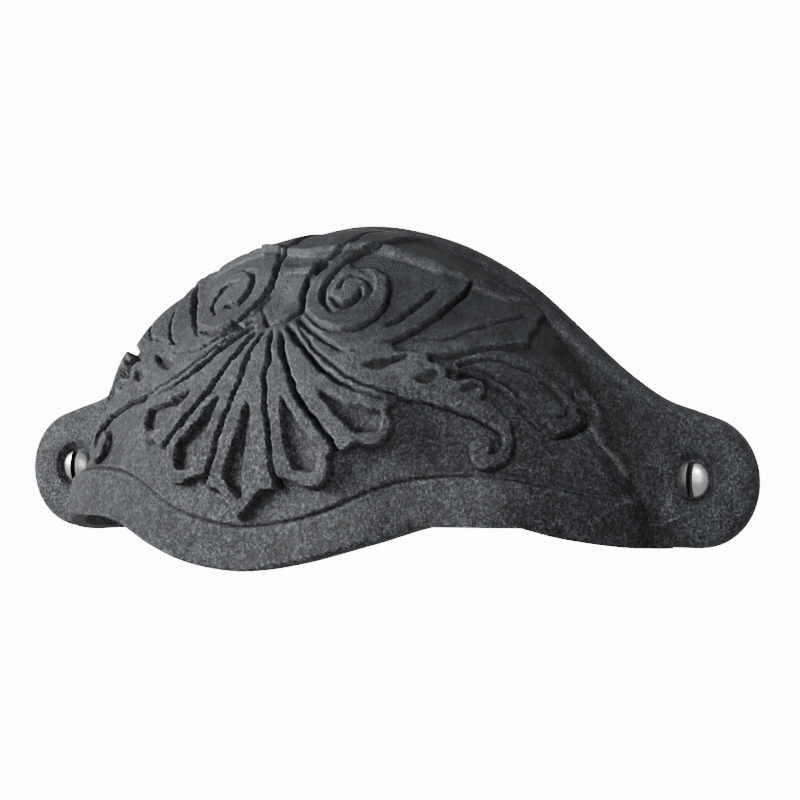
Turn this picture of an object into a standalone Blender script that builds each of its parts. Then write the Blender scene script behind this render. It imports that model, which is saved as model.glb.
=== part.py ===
"""Cast-iron cup pull: a hooded cup with a drilled ear at each end, held by two slotted wood screws.

Metres. +X runs along the pull, +Z up, and the cup stands out from the wall plane y = 0 towards -Y.
The origin is on the wall plane, midway between the two screws.
"""
import bmesh
import bpy
import numpy as np

MM = 0.001

# Screws and ears
SCREW_X = 57.5 * MM
EAR_R = 9.5 * MM
PLATE_T = 3.0 * MM
EDGE_LAND = 1.0 * MM
EDGE_DRAFT = 1.0 * MM
HOLE_R = 1.75 * MM
DISH_R = 3.8 * MM
DISH_DEPTH = 1.0 * MM

# Top edge of the plate: height above the screw line at each distance from the middle
PLATE_TOP = [(0, 37.6), (10, 36.3), (20, 33.1), (30, 27.6), (38, 21.3), (46, 15.0), (52, 11.3), (57.5, 9.5)]

# Cup: quarter-oval sections standing on a boxy oval plan with a slight waist
CUP_HALF_LENGTH = 51.8 * MM
CUP_DEPTH = 32.9 * MM
CUP_BELLY_Z = -6.6 * MM
PLAN_POWER = 2.58
SECTION_POWER = 2.16
WAIST = 0.10
WAIST_AT = 0.62
WAIST_SPREAD = 0.28
CUP_BASE = [(0, 36.3), (10, 35.2), (20, 31.9), (28, 27.7), (35, 22.3), (41, 14.6), (47, 5.2), (51.8, -6.6)]
LIP_BOTTOM = [(0, -13.6), (10, -12.5), (20, -9.9), (30, -6.8), (38, -6.3), (46, -8.0), (51.8, -9.4)]
WALL = 3.0 * MM

# Slotted domed-head wood screw
HEAD_R = 2.6 * MM
HEAD_H = 1.9 * MM
HEAD_RIM = 0.3 * MM
SLOT_W = 0.8 * MM
SLOT_DEPTH = 0.9 * MM
SHANK_R = 1.4 * MM
SCREW_REACH = 13.0 * MM
POINT_LENGTH = 3.5 * MM
CLEARANCE = 0.3 * MM

# Facets
EAR_STEPS = 16
FLANK_STEPS = 22
CUP_SECTIONS = 44
SECTION_STEPS = 16
ROUND_SIDES = 32
HEAD_STEPS = 6
CUTTER_MARGIN = 5.0 * MM
BACK_STOCK = 1.0 * MM


def clear_scene():
    for item in list(bpy.data.objects):
        bpy.data.objects.remove(item, do_unlink=True)


def smooth_line(points, x):
    """Height at distance x along a smooth line through (distance, height) points given in mm."""
    px = np.array([p[0] for p in points]) * MM
    pz = np.array([p[1] for p in points]) * MM
    slope = np.gradient(pz, px)
    slope[0] = 0.0
    x = np.clip(np.abs(x), px[0], px[-1])
    i = np.clip(np.searchsorted(px, x) - 1, 0, len(px) - 2)
    span = px[i + 1] - px[i]
    t = (x - px[i]) / span
    return (
        (1 + 2 * t) * (1 - t) ** 2 * pz[i]
        + t * (1 - t) ** 2 * span * slope[i]
        + t**2 * (3 - 2 * t) * pz[i + 1]
        - t**2 * (1 - t) * span * slope[i + 1]
    )


def metal(name, colour, roughness):
    material = bpy.data.materials.new(name)
    material.use_nodes = True
    shader = material.node_tree.nodes["Principled BSDF"]
    shader.inputs["Base Color"].default_value = (*colour, 1.0)
    shader.inputs["Metallic"].default_value = 1.0
    shader.inputs["Roughness"].default_value = roughness
    return material


def new_object(name, verts, faces):
    mesh = bpy.data.meshes.new(name)
    mesh.from_pydata([tuple(map(float, v)) for v in verts], [], faces)
    body = bmesh.new()
    body.from_mesh(mesh)
    bmesh.ops.recalc_face_normals(body, faces=body.faces)
    body.to_mesh(mesh)
    body.free()
    item = bpy.data.objects.new(name, mesh)
    bpy.context.scene.collection.objects.link(item)
    return item


def loft(name, rings):
    """Closed body through rings of equal point count, capped at both ends."""
    count = len(rings[0])
    verts = [v for ring in rings for v in ring]
    faces = [tuple(range(count)), tuple((len(rings) - 1) * count + k for k in range(count))]
    for i in range(len(rings) - 1):
        for k in range(count):
            n = (k + 1) % count
            faces.append((i * count + k, i * count + n, (i + 1) * count + n, (i + 1) * count + k))
    return new_object(name, verts, faces)


def combine(target, tool, operation):
    """Boolean of target with tool, after which the tool is removed."""
    tool.hide_render = True
    tool.display_type = "WIRE"
    change = target.modifiers.new(operation.lower(), "BOOLEAN")
    change.operation = operation
    change.solver = "EXACT"
    change.object = tool
    depsgraph = bpy.context.evaluated_depsgraph_get()
    result = bpy.data.meshes.new_from_object(target.evaluated_get(depsgraph))
    target.modifiers.clear()
    target.data = result
    bpy.data.objects.remove(tool, do_unlink=True)


def plate_outline(inset):
    """Outline of the back plate in the wall plane, moved inwards by inset, starting at the right ear."""
    angles = np.linspace(-np.pi / 2, np.pi / 2, EAR_STEPS)
    radius = EAR_R - inset
    ear = [(SCREW_X + radius * np.cos(a), radius * np.sin(a)) for a in angles]
    top = []
    for x in np.linspace(SCREW_X, 0, FLANK_STEPS)[1:]:
        rise = smooth_line(PLATE_TOP, x)
        slope = (smooth_line(PLATE_TOP, x + 0.1 * MM) - smooth_line(PLATE_TOP, x - 0.1 * MM)) / (0.2 * MM)
        length = np.hypot(1, slope)
        top.append((x + inset * slope / length, rise - inset / length))
    top[-1] = (0.0, top[-1][1])
    half = ear + top
    return half + [(-x, z) for x, z in reversed(half[:-1])]


def back_plate():
    """Plate with both ears: a square land at the wall, then a drafted edge up to the front face."""
    levels = [
        (0.0, -BACK_STOCK),
        (0.0, EDGE_LAND),
        (0.45 * EDGE_DRAFT, 0.8 * PLATE_T),
        (EDGE_DRAFT, PLATE_T),
    ]
    rings = [[(x, -depth, z) for x, z in plate_outline(inset)] for inset, depth in levels]
    return loft("cup_casting", rings)


def cup_section(turn, shrink, floor_z, back_y):
    """Ring of one upright section of the cup; turn runs from -90 to 90 degrees along its length."""
    half_length = CUP_HALF_LENGTH - shrink
    x = half_length * np.sign(turn) * abs(np.sin(turn)) ** (2 / PLAN_POWER)
    waist = 1 - WAIST * np.exp(-(((abs(x) / half_length - WAIST_AT) / WAIST_SPREAD) ** 2))
    depth = (CUP_DEPTH - shrink) * waist * np.cos(turn) ** (2 / PLAN_POWER)
    crown = smooth_line(CUP_BASE, x * CUP_HALF_LENGTH / half_length) - 0.9 * shrink
    rise = max(crown - CUP_BELLY_Z, 0.2 * MM)
    ring = [(x, -back_y, CUP_BELLY_Z + rise)]
    for angle in np.linspace(np.pi / 2, 0, SECTION_STEPS):
        across = depth * np.cos(angle) ** (2 / SECTION_POWER)
        up = rise * np.sin(angle) ** (2 / SECTION_POWER)
        ring.append((x, -across, CUP_BELLY_Z + up))
    bottom = smooth_line(LIP_BOTTOM, x) if floor_z is None else floor_z
    ring.append((x, -depth, bottom))
    ring.append((x, -back_y, bottom))
    return ring


def cup_body(name, shrink=0.0, floor_z=None, back_y=0.0):
    turns = np.radians(np.linspace(-88.5, 88.5, CUP_SECTIONS + 1))
    rings = [cup_section(turn, shrink, floor_z, back_y) for turn in turns]
    return loft(name, rings)


def turned(name, profile, x, sides=ROUND_SIDES):
    """Body of revolution about the screw axis at x, from (radius, y) points; end points lie on the axis."""
    verts = [(x, profile[0][1], 0.0)]
    angles = 2 * np.pi * np.arange(sides) / sides
    for radius, y in profile[1:-1]:
        verts += [(x + radius * np.cos(a), y, radius * np.sin(a)) for a in angles]
    verts.append((x, profile[-1][1], 0.0))
    last = len(verts) - 1
    faces = []
    for k in range(sides):
        n = (k + 1) % sides
        faces.append((0, 1 + n, 1 + k))
        for i in range(len(profile) - 3):
            near = 1 + i * sides
            far = near + sides
            faces.append((near + k, near + n, far + n, far + k))
        faces.append((last, last - sides + k, last - sides + n))
    return new_object(name, verts, faces)


def ear_hole(x):
    """Clearance hole through the ear with a shallow dish around its front."""
    dish_floor = -(PLATE_T - DISH_DEPTH)
    profile = [
        (0.0, CUTTER_MARGIN),
        (HOLE_R, CUTTER_MARGIN),
        (HOLE_R, dish_floor),
        (0.72 * DISH_R, dish_floor),
        (0.92 * DISH_R, dish_floor - 0.45 * DISH_DEPTH),
        (DISH_R, -PLATE_T),
        (DISH_R, -PLATE_T - CUTTER_MARGIN),
        (0.0, -PLATE_T - CUTTER_MARGIN),
    ]
    return turned("ear_hole", profile, x)


def wall_block():
    """Block behind the wall plane, which trims the back of the casting flat."""
    reach = SCREW_X + EAR_R + CUTTER_MARGIN
    ring = [(0.0, -reach), (CUTTER_MARGIN, -reach), (CUTTER_MARGIN, reach), (0.0, reach)]
    return loft("wall_block", [[(x, y, z) for y, z in ring] for x in (-reach, reach)])


def cup_casting():
    """Plate and cup in one casting, hollowed from below and behind, with a hole in each ear."""
    casting = back_plate()
    combine(casting, cup_body("cup_outside", back_y=-1.5 * BACK_STOCK), "UNION")
    combine(casting, wall_block(), "DIFFERENCE")
    hollow = cup_body("cup_hollow", WALL, LIP_BOTTOM[0][1] * MM - CUTTER_MARGIN, -CUTTER_MARGIN)
    combine(casting, hollow, "DIFFERENCE")
    for x in (-SCREW_X, SCREW_X):
        combine(casting, ear_hole(x), "DIFFERENCE")
    casting.data.materials.clear()
    casting.data.materials.append(metal("cast_iron", (0.045, 0.048, 0.052), 0.6))
    return casting


def slot_cutter(x, crown_y):
    """Upright bar that cuts the driver slot across the domed head."""
    half = SLOT_W / 2
    near = crown_y - CUTTER_MARGIN
    far = crown_y + SLOT_DEPTH
    reach = 2 * HEAD_R
    ring = [(x - half, near), (x + half, near), (x + half, far), (x - half, far)]
    return loft("slot", [[(px, py, pz) for px, py in ring] for pz in (-reach, reach)])


def wood_screw(name, x):
    """Domed slotted head in front of the dish floor, plain shank and point running back into the wood."""
    seat_y = -(PLATE_T - DISH_DEPTH) - CLEARANCE
    rim_y = seat_y - HEAD_RIM
    profile = [(0.0, seat_y - HEAD_H)]
    for angle in np.linspace(0, np.pi / 2, HEAD_STEPS + 1)[1:]:
        profile.append((HEAD_R * np.sin(angle), rim_y - (HEAD_H - HEAD_RIM) * np.cos(angle)))
    profile += [
        (HEAD_R, seat_y),
        (SHANK_R, seat_y),
        (SHANK_R, SCREW_REACH - POINT_LENGTH),
        (0.35 * SHANK_R, SCREW_REACH - 0.1 * POINT_LENGTH),
        (0.0, SCREW_REACH),
    ]
    screw = turned(name, profile, x)
    combine(screw, slot_cutter(x, seat_y - HEAD_H), "DIFFERENCE")
    screw.data.materials.clear()
    screw.data.materials.append(metal(name + "_steel", (0.62, 0.63, 0.65), 0.3))
    return screw


def shade(item, angle):
    item.data.shade_smooth()
    item.data.set_sharp_from_angle(angle=angle)


def build():
    clear_scene()
    shade(cup_casting(), np.radians(40))
    shade(wood_screw("screw_left", -SCREW_X), np.radians(30))
    shade(wood_screw("screw_right", SCREW_X), np.radians(30))


build()
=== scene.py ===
"""Looks of the cast-iron cup pull: the casting with its moulded ornament, two wood screws, a soft studio.

Sizes are in millimetres and become metres when a mesh is made; lights and camera are in metres. +X runs
along the pull, +Z is up and the cup stands out from the wall plane y = 0 towards -Y. The ornament is laid
out in front view as (x, z) points for the right half. The left half mirrors it, apart from its volute and
a few strokes.
"""

import bmesh
import bpy
import numpy as np
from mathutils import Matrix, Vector


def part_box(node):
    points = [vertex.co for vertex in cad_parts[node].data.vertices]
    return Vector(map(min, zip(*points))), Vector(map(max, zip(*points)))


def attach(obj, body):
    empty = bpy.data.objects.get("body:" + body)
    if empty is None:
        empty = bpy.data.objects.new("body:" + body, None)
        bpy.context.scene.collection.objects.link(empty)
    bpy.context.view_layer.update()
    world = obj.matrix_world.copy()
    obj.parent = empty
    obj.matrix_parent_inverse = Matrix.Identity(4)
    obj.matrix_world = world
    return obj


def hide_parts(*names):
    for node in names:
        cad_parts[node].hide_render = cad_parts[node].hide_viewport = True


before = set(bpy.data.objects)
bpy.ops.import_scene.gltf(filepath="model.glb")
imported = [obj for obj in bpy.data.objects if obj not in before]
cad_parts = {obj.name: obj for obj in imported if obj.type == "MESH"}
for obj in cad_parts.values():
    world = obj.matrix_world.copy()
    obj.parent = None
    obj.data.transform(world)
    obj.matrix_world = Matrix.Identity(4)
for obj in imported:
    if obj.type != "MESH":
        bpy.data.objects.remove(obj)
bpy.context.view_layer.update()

MM = 0.001
TINY = 1e-9

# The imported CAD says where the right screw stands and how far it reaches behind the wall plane
screw_low, screw_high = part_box("screw_right")
SCREW_X = round((screw_low.x + screw_high.x) / 2 / MM, 2)
SCREW_REACH = round(screw_high.y / MM, 2)

# Plate with its ears, which leave the top edge at a turn in degrees
EAR_R = 9.5
EAR_Z = -0.3
PLATE_T = 3.0
EDGE_LAND = 0.9
EDGE_ROUND = 1.0
PLATE_TOP = [(0, 37.6), (10, 36.3), (20, 33.1), (30, 27.6), (38, 21.3), (46, 15.0), (52, 11.4), (57, 9.8),
             (60.75, 8.63)]
EAR_TOP_TURN = 70
HOLE_R = 1.75
DISH_R = 4.2
DISH_DEPTH = 1.0
DISH_PLAY = 0.1
SLOPE_STEP = 0.1

# Cutting tools reach well past what they cut, and a sliver keeps two faces out of one plane
SPARE = 5.0
SLIVER = 0.02

# Cup: a boxy oval plan that draws in a little at the waist, quarter-oval sections and a wavy lip
HALF_LENGTH = 51.1
DEPTH = 32.9
BELLY_Z = -6.6
LEAST_RISE = 0.2
PLAN_POWER = 2.52
SECTION_POWER = 2.16
WAIST = 0.10
WAIST_AT = 0.62
WAIST_SPREAD = 0.28
CUP_BASE = [(0, 36.3), (10, 35.2), (20, 31.9), (28, 27.7), (35, 22.3), (41, 14.6), (46.5, 5.2), (51.1, -6.6)]
CUP_BASE_RIGHT = [(0, 36.3), (10, 35.2), (20, 31.9), (28, 27.7), (35, 22.3), (41, 14.8), (45, 10.2),
                  (48.6, 4.6), (50.4, -0.6), (51.1, -6.6)]
LIP_BOTTOM = [(0, -13.6), (10, -12.5), (20, -9.9), (30, -6.8), (38, -6.3), (46, -8.5), (51.1, -10)]
LIP_LEAN = 0.6
LIP_LEAN_SPAN = 44
LIP_ROUND = 1.0
LIP_ROUND_END = 2.2
LIP_ROUND_FROM = 40
LIP_ROUND_OVER = 9
WALL = 2.4
CROWN_WALL = 0.9
FILLET_TOP = 0.7
FILLET_END = 1.8
FILLET_FROM = 30
FILLET_OVER = 14

# Before the back is cut flat, cup and plate reach this far behind the wall plane
BEHIND = 1.5
PLATE_BEHIND = 1.0

# Screws
HEAD_R = 2.7
HEAD_H = 1.6
HEAD_RIM = 0.2
SLOT_W = 1.0
SLOT_DEPTH = 1.1
SLOT_REACH = 6
SLOT_WALL = 0.95
SHANK_R = 1.4
POINT_LENGTH = 3.5
POINT_LEAST = 0.06
THREAD_PITCH = 1.1
THREAD_DEPTH = 0.25
THREAD_START = 3.5
THREAD_SHARPNESS = 3.2
THREAD_CREST = 1.3
THREAD_FADE = 4
CLEARANCE = 0.05

# Mesh density. The skin's columns and rows are spaced by length, which is measured on many samples
COLUMN_SAMPLES = 3001
ROW_SAMPLES = 2001
END_TURN = 88.5
COLUMNS = 430
END_COLUMNS_FROM = 45
END_COLUMN_DENSITY = 0.45
FACE_ROWS = 178
ROOF_ROWS_OUT = 12
ROOF_ROW_DENSITY = 0.5
LIP_ROWS = 26
ROUND_ROWS = 5
HOLLOW_COLUMNS = 90
HOLLOW_ROWS = 36
EAR_STEPS = 48
PLATE_TOP_STEPS = 90
PLATE_EDGE_ROWS = 8
HOLE_SIDES = 96
DISH_ROWS = 9
SCREW_SIDES = 64
DOME_ROWS = 14
DOME_START = 0.02
SHANK_ROWS = 150

# Edges turned by more degrees than this stay sharp
SHARP_IRON = 70
SHARP_STEEL = 35

# Raised shapes of the ornament: (height, outline). The field is the leafy ground between the volutes and
# the palmette, and runs out into the scroll
TAB = (1.5, [(-3, 38), (4.6, 38), (4.5, 35), (4.4, 33.4), (4.2, 32.2), (3.6, 31.2), (2.9, 30), (2.7, 28.8),
             (3.3, 27), (4.4, 24.5), (3.5, 23.4), (2.3, 22.7), (0, 22.3), (-3, 22.3)])
VOLUTE = (1.5, [(5.6, 38), (5.4, 33), (4.5, 31), (4.0, 29), (4.0, 26.5), (4.8, 24.4), (6, 23.3),
                (7.8, 22.3), (10, 21.5), (12.6, 21.2), (14.8, 21.8), (16.1, 23.1), (16.7, 24.8),
                (16.4, 26.3), (15.6, 27.6), (14.6, 28.8), (13.2, 29.8), (11.5, 30.4), (9.5, 30.3),
                (8.2, 30.7), (8.4, 31.8), (10.3, 33.2), (10, 34.8), (10, 38)])
FIELD = (1.1, [(-3, 34), (10, 33.4), (17, 31.7), (21, 30), (24.4, 28.4), (25.2, 27.3), (25.5, 26.1),
               (25.2, 25), (24.6, 23.7), (23.7, 22.4), (22.4, 21.2), (21.2, 20.2), (20, 19.5), (20.6, 18.4),
               (23, 18), (25.4, 17.4), (25.6, 16.6), (27, 16.3), (28, 15.8), (28.4, 15), (28.6, 14.2),
               (30, 14), (31.5, 14.3), (32.6, 14), (33.4, 13.3), (33.7, 12.5), (33.4, 11.6), (34.8, 10.9),
               (36.2, 9.9), (37.6, 8.4), (38.4, 6.8), (38.7, 5), (38.5, 3.4), (37.7, 2.4), (36.5, 1.8),
               (35.2, 1.9), (34, 2.8), (33.3, 4.2), (33.3, 5.5), (34, 6.3), (35, 6.5), (35.8, 5.9),
               (36.1, 5), (35.9, 4.1), (36.8, 4.2), (37.3, 5.2), (37.3, 6.3), (36.6, 7.3), (35, 8.3),
               (31, 9.8), (27, 10.9), (23.5, 11.6), (18, 12.2), (14, 13.8), (12, 15), (8, 18), (5, 20.4),
               (3, 20.6), (0, 21), (-3, 20.6)])
UPPER_LEAF = (0.65, [(18, 19), (25.5, 17.7), (27.5, 17.8), (30, 18.3), (33, 18.9), (35.3, 19.2),
                     (34.7, 20.5), (34.2, 22), (33.4, 23.6), (31.5, 25.5), (29, 27), (25.4, 28.4),
                     (20, 27)])
LOWER_LEAF = (1.1, [(28.7, 16.6), (30.9, 17.3), (33.4, 17.8), (35.6, 16.8), (37.8, 15.6), (39.5, 14),
                    (41.5, 12), (43, 10.4), (44, 8.9), (43.9, 7.7), (43, 7.3), (41.7, 8.1), (40.6, 9.1),
                    (38.3, 11), (36.1, 12.3), (33.9, 13.7), (31.6, 14.9), (29.4, 15.2)])
LOBE_MIDDLE = (1.1, [(-2, 22.5), (0.5, 22.5), (0.9, 19.5), (1.7, 17), (1.5, 15), (2.3, 12.3), (3, 9.6),
                     (4.1, 6.4), (4.6, 3.6), (5.3, 1), (6.3, -1.2), (4.2, -1.6), (3.2, -2.2), (1.6, -3.9),
                     (0.2, -5.3), (-1, -5)])
LOBE_INNER = (1.1, [(0.7, 22.5), (2.3, 22), (3.4, 18.5), (5.4, 15.5), (7.4, 12.2), (9.4, 10.2), (11.5, 8),
                    (13.5, 6), (15, 4.4), (14.3, 3.3), (14.5, 1.4), (14, -0.2), (12.8, -1), (10.8, -1),
                    (9.8, -0.4), (8, 0.2), (6.9, 0.4), (6, 0.8), (5.2, 4), (4.7, 6.5), (3.5, 9.8),
                    (2.8, 12.3), (2.1, 15), (2.2, 17), (1.4, 19.5)])
LOBE_OUTER = (1.1, [(2.3, 22.5), (4.6, 21), (8, 17.9), (10, 16.3), (14, 13.8), (18, 12.4), (22.2, 12),
                    (22.2, 11), (21.6, 9.9), (22.4, 8.6), (22.8, 7.5), (22.3, 6.2), (21.4, 5.2), (20, 4.8),
                    (18.2, 5.2), (16.6, 4.2), (15.6, 4.6), (14, 6.4), (12, 8.5), (9.8, 10.6), (7.8, 12.7),
                    (5.8, 15.8), (3.9, 18.7), (2.9, 20.8)])
RAISED = [FIELD, UPPER_LEAF, LOWER_LEAF, LOBE_MIDDLE, LOBE_INNER, LOBE_OUTER]
FLANK_W = 0.35

# The tab stands highest on its right: share of its height at x = 0, gain per mm, least share
TAB_MIDDLE = 0.8
TAB_GAIN = 0.1
TAB_LEAST = 0.5

# Sunk panels of the ornament, in the palmette's lobes and as drops along the field: (depth, outline)
POCKETS = [
    (0.8, [(-0.6, 10.2), (0.3, 9.8), (1.0, 6.4), (1.9, 3.6), (2.7, 0.6), (2.1, -0.4), (0.9, -2),
           (-0.6, -2)]),
    (0.85, [(5.6, 11.5), (6.2, 9), (7, 6), (8, 3.4), (9.2, 1.5), (12, 1.3), (12.6, 2.6), (12.7, 4.6),
            (10.8, 6.2), (9, 8), (7.2, 9.9)]),
    (0.85, [(11.5, 12.5), (13.4, 10.4), (16, 8.2), (17.8, 6.8), (20.4, 6.8), (21.2, 8), (20.8, 9.6),
            (18, 10.4), (15.5, 10.9), (13.5, 11.8)]),
    (0.7, [(16.9, 16), (17.6, 16.5), (20, 16.9), (22.5, 17.5), (22, 16.8), (19.5, 15.8)]),
    (0.6, [(24.3, 14.2), (25, 14.7), (26.8, 15.2), (27, 14.4), (25.8, 13.7)]),
    (0.5, [(30.4, 12.8), (31.4, 13.4), (32.4, 13.6), (32.5, 13), (31.5, 12.5)]),
]
HIGH_POCKET = (2.2, [(2.8, 31.1), (4.4, 31), (4.7, 30.4), (4, 30), (3.6, 29.5), (3, 30)])

# Cut grooves of the ornament: (x, z, width) along each stroke. The two volutes are not quite alike
RIGHT_VOLUTE_GROOVES = [
    # Spiral, its eye and the fine line above the eye
    [(10.4, 33.3, 0.5), (9, 32.7, 0.9), (7.9, 31.9, 1.0), (7.2, 30.7, 1.0), (6.5, 29.4, 0.9),
     (6.4, 27.7, 0.9), (6.9, 26.1, 0.8), (8, 24.7, 0.6), (9.8, 23.5, 0.3)],
    [(8.2, 26, 0.3), (9.8, 25.1, 0.8), (11, 24.8, 1.1), (12.1, 25.3, 1.2), (12.3, 26.3, 1.0),
     (11.9, 27.2, 0.4)],
    [(8.9, 27.4, 0.4), (8.7, 28.4, 0.4), (9.4, 29, 0.35), (10.9, 28.9, 0.3), (12.7, 28.2, 0.3),
     (13.7, 27, 0.2)],
    # Between the tab and the volute, and round the volute's outside
    [(2.8, 28.6, 0.6), (3.2, 27.5, 0.8), (3.8, 26.1, 0.8), (4.4, 24.8, 0.8), (4.5, 24.1, 0.7),
     (3.6, 23.3, 0.5), (2.5, 22.7, 0.4), (1.2, 22.2, 0.4), (0, 22.1, 0.3)],
    [(5, 24.4, 0.3), (6.2, 23, 0.3), (8, 22, 0.4), (10, 21.3, 0.4), (12.6, 21, 0.4), (14.9, 21.6, 0.5),
     (16.4, 23, 0.6), (16.9, 24.8, 0.6), (16.6, 26.4, 0.5), (15.8, 27.8, 0.4), (14.6, 29, 0.3)],
]
LEFT_VOLUTE_GROOVES = [
    # Spiral and the line beside it
    [(11.7, 30.5, 0.3), (9.9, 30.2, 0.6), (8.4, 29.6, 1.0), (7.9, 28.6, 1.1), (8.3, 27.1, 1.1),
     (9, 25.8, 1.2), (10.2, 24.9, 1.2), (11.9, 24.8, 0.7)],
    [(11.5, 28.6, 0.3), (13.5, 28.2, 0.7), (15, 27.1, 0.8), (15.5, 25.8, 0.8), (15.2, 24.5, 0.6),
     (12.9, 23.4, 0.3)],
    # Between the tab and the volute, beside the volute, and under the tab
    [(4.4, 33.6, 0.6), (4.3, 32.2, 0.8), (4.1, 30.8, 0.8), (3.9, 29.2, 0.9), (4.1, 27.8, 0.9),
     (4.7, 26.6, 1.0), (5.4, 25.4, 1.0), (6.2, 24, 0.9), (7, 22.8, 0.7), (8.6, 21.4, 0.6),
     (11.3, 20.9, 0.5), (14, 21.4, 0.5)],
    [(23.4, 27.6, 0.8), (21.9, 25.8, 1.1), (19.8, 23.9, 0.9), (16.4, 21.9, 0.5), (13.9, 20.7, 0.3)],
    [(0, 22, 0.5), (0.9, 22.1, 0.5), (2, 22.7, 0.4), (3.2, 23.6, 0.3), (4.6, 24.7, 0.2)],
]
SPIRAL_HOLLOW = [(7.3, 29.2, 0.8), (7.3, 27.2, 1.2), (8.3, 25.3, 1.2), (10, 24, 1.3), (12.3, 24.1, 1.4),
                 (13.6, 25.7, 1.3), (13.4, 27.5, 1.1), (12, 29, 0.9), (10.3, 29.7, 0.5)]
SPIRAL_HOLLOW_EASE = 0.2
GROOVES = [
    # Right edge of the field
    [(24.9, 28, 0.4), (25.5, 26.9, 0.5), (25.7, 25.8, 0.6), (25.3, 24.6, 0.6), (24.3, 22.9, 0.7),
     (23.2, 21.6, 0.6), (21.8, 20.4, 0.6), (20.2, 19.5, 0.5), (18.5, 19.3, 0.3)],
    # Stems that leave the palmette's root
    [(4.8, 22.5, 0.6), (7, 21.3, 0.7), (9, 20.2, 0.6), (11, 19.1, 0.5), (12.8, 18.4, 0.4), (15, 18, 0.2),
     (18, 18, 0.2)],
    [(3.5, 21.5, 0.6), (5, 20.3, 0.9), (8, 18, 0.7), (10, 16.3, 0.7), (12, 15, 0.7), (14, 13.9, 0.5),
     (18, 12.3, 0.3), (22, 11.5, 0.2)],
    [(5.1, 21.7, 0.3), (8, 19.3, 0.4), (10, 17.8, 0.4), (12, 16.6, 0.4), (15, 14.8, 0.4), (18, 13.4, 0.4),
     (22.4, 12.1, 0.5)],
    # Between the palmette's lobes
    [(1.0, 20.3, 0.6), (1.6, 17.5, 0.7), (1.9, 15, 0.6), (2.6, 12, 0.8), (3.4, 9.3, 0.7), (4.4, 6, 0.7),
     (4.9, 3.8, 0.6), (5.8, 0.8, 0.8), (6.5, -0.8, 1.0)],
    [(2.5, 20.7, 0.6), (3.5, 18.7, 0.9), (5.5, 15.7, 0.6), (7.6, 12.5, 0.9), (9.6, 10.4, 0.6),
     (11.6, 8.3, 0.6), (13.6, 6.3, 0.5), (15.1, 4.7, 0.9)],
    # Slash in the upper leaf, line along the scroll's stem, line in the upper leaf, end of the crease
    [(26.2, 19.6, 0.3), (29, 21.1, 0.6), (31, 22, 0.6), (32.6, 23, 0.4)],
    [(22.6, 11.7, 0.35), (27, 10.8, 0.35), (31, 9.7, 0.35), (35, 8.2, 0.35), (36.9, 6.8, 0.3)],
    [(22.5, 19.8, 0.25), (26, 19.8, 0.25), (30, 20.2, 0.2), (33.5, 20.8, 0.2)],
    [(26.6, 27.8, 0.5), (28.1, 27, 0.7), (29.6, 26.2, 0.8), (31, 25.4, 0.7), (32.5, 24.5, 0.4)],
    # Both rims of the lower leaf and the line round it
    [(29.6, 15.9, 0.8), (30.8, 16.1, 0.7), (32.4, 16.6, 0.5), (34.5, 16.2, 0.45), (37.3, 14.9, 0.4),
     (39.5, 13.2, 0.4), (41.1, 11.6, 0.4), (42.3, 10.1, 0.4), (42.4, 9.3, 0.4), (41.6, 9.1, 0.3)],
    [(29.5, 14.7, 0.4), (31.6, 15.3, 0.5), (34.8, 13.9, 0.5), (37.5, 11.9, 0.5), (40.8, 9.1, 0.4)],
    [(34, 18.1, 0.3), (36, 17.2, 0.4), (38.1, 16, 0.5), (40, 14.5, 0.55), (42.1, 12.5, 0.55),
     (43.7, 10.8, 0.55), (44.7, 9, 0.5), (44.6, 7.4, 0.45), (43.2, 6.7, 0.4), (41.4, 7.6, 0.4),
     (40.2, 8.7, 0.4), (38, 10.5, 0.35)],
]
RIGHT_SLASH = [(18.5, 21.6, 0.5), (19.8, 22.6, 0.8), (20.9, 24, 1.0), (21.6, 25.3, 1.0), (22.1, 26.5, 0.8)]

# Section of a groove in shares of its width: depth, how flat its floor is, reach to each side
GROOVE_DEPTH = 1.15
GROOVE_FLAT = 1.2
GROOVE_REACH = 0.55
GROOVE_LEAST_W = 0.1

# The left side is cut this much deeper
LEFT_CUT = 1.4

# Fine incised line that sets off the lip band, the crease where the face turns into the roof, and the
# short ridge at the right end of the cup
LIP_LINE = [(-3, -7.1), (0, -7.1), (5, -6.6), (10, -5.7), (15, -4.1), (20, -1.8), (25, -0.1), (30, 0.6),
            (35, 0.7), (40, 0.1), (45, -1.1), (50, -3)]
LIP_LINE_W = 0.6
LIP_LINE_DEPTH = 0.42
CREASE = [(-3, 32.4), (0, 32.4), (10, 33), (13, 32.4), (17, 31.3), (21, 29.7), (25.5, 27.6), (30, 25.8),
          (34, 24)]
CREASE_W = 1.1
CREASE_H = 0.45
TAB_CREASE = [(-3, 30), (0, 30), (2.4, 30)]
TAB_CREASE_H = 0.135
END_RIDGE = [(44.8, 7.6), (45.4, 6.9), (46.3, 5.3), (47.4, 3.7), (48.4, 1.9), (49.4, 0), (50, -1.2),
             (50.4, -2.3), (50.5, -3.3)]
RIDGE_W = 0.6
RIDGE_H = 0.3

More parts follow.
